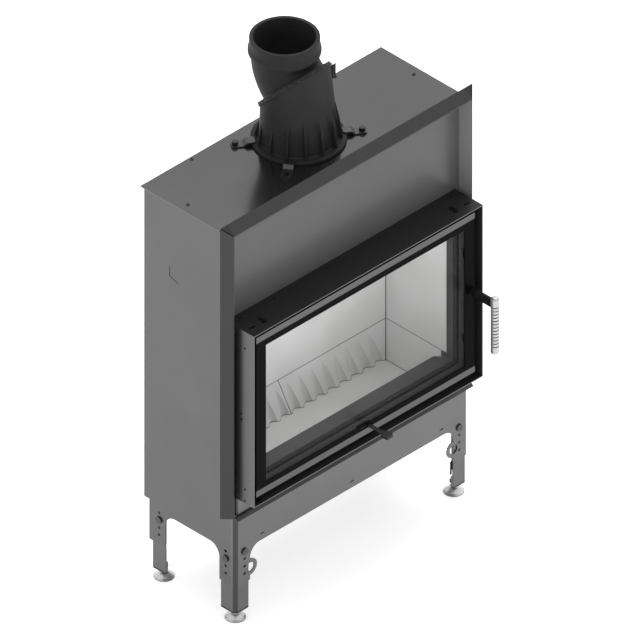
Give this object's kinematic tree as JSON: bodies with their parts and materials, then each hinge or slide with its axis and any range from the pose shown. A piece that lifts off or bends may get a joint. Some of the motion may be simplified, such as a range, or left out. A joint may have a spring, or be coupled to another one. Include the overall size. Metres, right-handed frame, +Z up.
{
  "type": "fireplace insert",
  "caption": "Wood burning fireplace insert: steel casing on levelling legs, flared facade frame, deep surround with side hung glass door, brick lined firebox and turning flue adaptor.",
  "frame": {"origin": "under the middle of the object's box, at floor level", "axes": "front faces -Y, +Z up, +X to the right seen from the front"},
  "size_m": [0.991, 0.5235, 1.643],
  "materials": {
    "casing_grey": "smooth semi-matt grey coating on folded sheet",
    "facade_dark": "smooth dark grey coating",
    "inner_steel": "grey coated sheet steel",
    "surround_black": "matt black heat resistant paint",
    "door_black": "matt black heat resistant paint",
    "firebox_dark": "dark grey heat resistant paint",
    "lining": null,
    "pane": "clear ceramic glass",
    "brushed_trim": "brushed stainless steel",
    "rope_seal": "black woven glass rope",
    "small_steel": "plain satin steel",
    "grip_metal": "satin turned metal with ribs",
    "lever_dark": "dark grey coated steel",
    "cast_dark": "dark painted casting",
    "fixings": "dark zinc plated screws and bolts",
    "foot_bright": "bright zinc plated steel"
  },
  "bodies": {
    "casing": {"case_side_left": "casing_grey", "case_side_right": "casing_grey", "case_back": "casing_grey", "case_top": "casing_grey", "front_plate": "casing_grey", "facade_frame": "facade_dark", "ash_lip": "facade_dark", "base_skirt": "casing_grey", "base_plate": "inner_steel", "leg_guides": "inner_steel", "door_surround": "surround_black", "front_frame": "firebox_dark", "hearth_sill": "firebox_dark", "firebox_shell": "firebox_dark", "smoke_collar": "inner_steel", "air_inlet": "inner_steel", "lining_floor": "lining", "lining_front": "lining", "lining_left_lower": "lining", "lining_left_upper": "lining", "lining_right_lower": "lining", "lining_right_upper": "lining", "lining_back_upper": "lining", "lining_back_lower_left": "lining", "lining_back_lower_right": "lining", "baffle": "lining", "hinge_brackets": "surround_black", "hinge_pins": "small_steel", "latch_keeper": "small_steel", "flue_clamps": "small_steel", "clamp_bolts": "fixings", "leg_bolts": "fixings", "case_screws": "fixings", "surround_screws": "surround_black"},
    "door": {"door_frame": "door_black", "door_glass": "pane", "door_trims": "brushed_trim", "door_seal": "rope_seal", "glass_clips": "small_steel"},
    "handle": {"handle_arm": "door_black", "handle_grip": "grip_metal", "latch_cam": "small_steel"},
    "air_lever": {"air_slide": "lever_dark", "air_knob": "lever_dark"},
    "flue_lower": {"flue_base": "cast_dark"},
    "flue_upper": {"flue_outlet": "cast_dark"},
    "leg_front_left": {"leg_front_left": "inner_steel"},
    "foot_front_left": {"foot_front_left": "foot_bright"},
    "leg_front_right": {"leg_front_right": "inner_steel"},
    "foot_front_right": {"foot_front_right": "foot_bright"},
    "leg_back_left": {"leg_back_left": "inner_steel"},
    "foot_back_left": {"foot_back_left": "foot_bright"},
    "leg_back_right": {"leg_back_right": "inner_steel"},
    "foot_back_right": {"foot_back_right": "foot_bright"}
  },
  "joints": [
    {"name": "door_hinge", "type": "hinge", "parent": "casing", "child": "door", "pos_m": [-0.4377, -0.15295, 0.7175], "axis": [0, 0, -1], "range_deg": [0, 90]},
    {"name": "handle_turn", "type": "hinge", "parent": "door", "child": "handle", "pos_m": [0.417, -0.15925, 0.726], "axis": [0, -1, 0], "range_deg": [0, 60]},
    {"name": "air_lever_slide", "type": "slide", "parent": "door", "child": "air_lever", "axis": [1, 0, 0], "range_m": [-0.0275, 0.0075]},
    {"name": "flue_base_turn", "type": "hinge", "parent": "casing", "child": "flue_lower", "pos_m": [0, 0.10375, 1.327], "axis": [0, 0, 1], "continuous": true},
    {"name": "flue_cut_turn", "type": "hinge", "parent": "flue_lower", "child": "flue_upper", "pos_m": [0, 0.11975, 1.501], "axis": [0, 0.7071, 0.7071], "continuous": true},
    {"name": "leg_slide_front_left", "type": "slide", "parent": "casing", "child": "leg_front_left", "axis": [0, 0, 1], "range_m": [-0.025, 0.025]},
    {"name": "foot_screw_front_left", "type": "hinge", "parent": "leg_front_left", "child": "foot_front_left", "pos_m": [-0.4286, -0.07655, 0.02], "axis": [0, 0, 1], "continuous": true},
    {"name": "leg_slide_front_right", "type": "slide", "parent": "casing", "child": "leg_front_right", "axis": [0, 0, 1], "range_m": [-0.025, 0.025]},
    {"name": "foot_screw_front_right", "type": "hinge", "parent": "leg_front_right", "child": "foot_front_right", "pos_m": [0.4286, -0.07655, 0.02], "axis": [0, 0, 1], "continuous": true},
    {"name": "leg_slide_back_left", "type": "slide", "parent": "casing", "child": "leg_back_left", "axis": [0, 0, 1], "range_m": [-0.025, 0.025]},
    {"name": "foot_screw_back_left", "type": "hinge", "parent": "leg_back_left", "child": "foot_back_left", "pos_m": [-0.4286, 0.20355, 0.02], "axis": [0, 0, 1], "continuous": true},
    {"name": "leg_slide_back_right", "type": "slide", "parent": "casing", "child": "leg_back_right", "axis": [0, 0, 1], "range_m": [-0.025, 0.025]},
    {"name": "foot_screw_back_right", "type": "hinge", "parent": "leg_back_right", "child": "foot_back_right", "pos_m": [0.4286, 0.20355, 0.02], "axis": [0, 0, 1], "continuous": true}
  ]
}
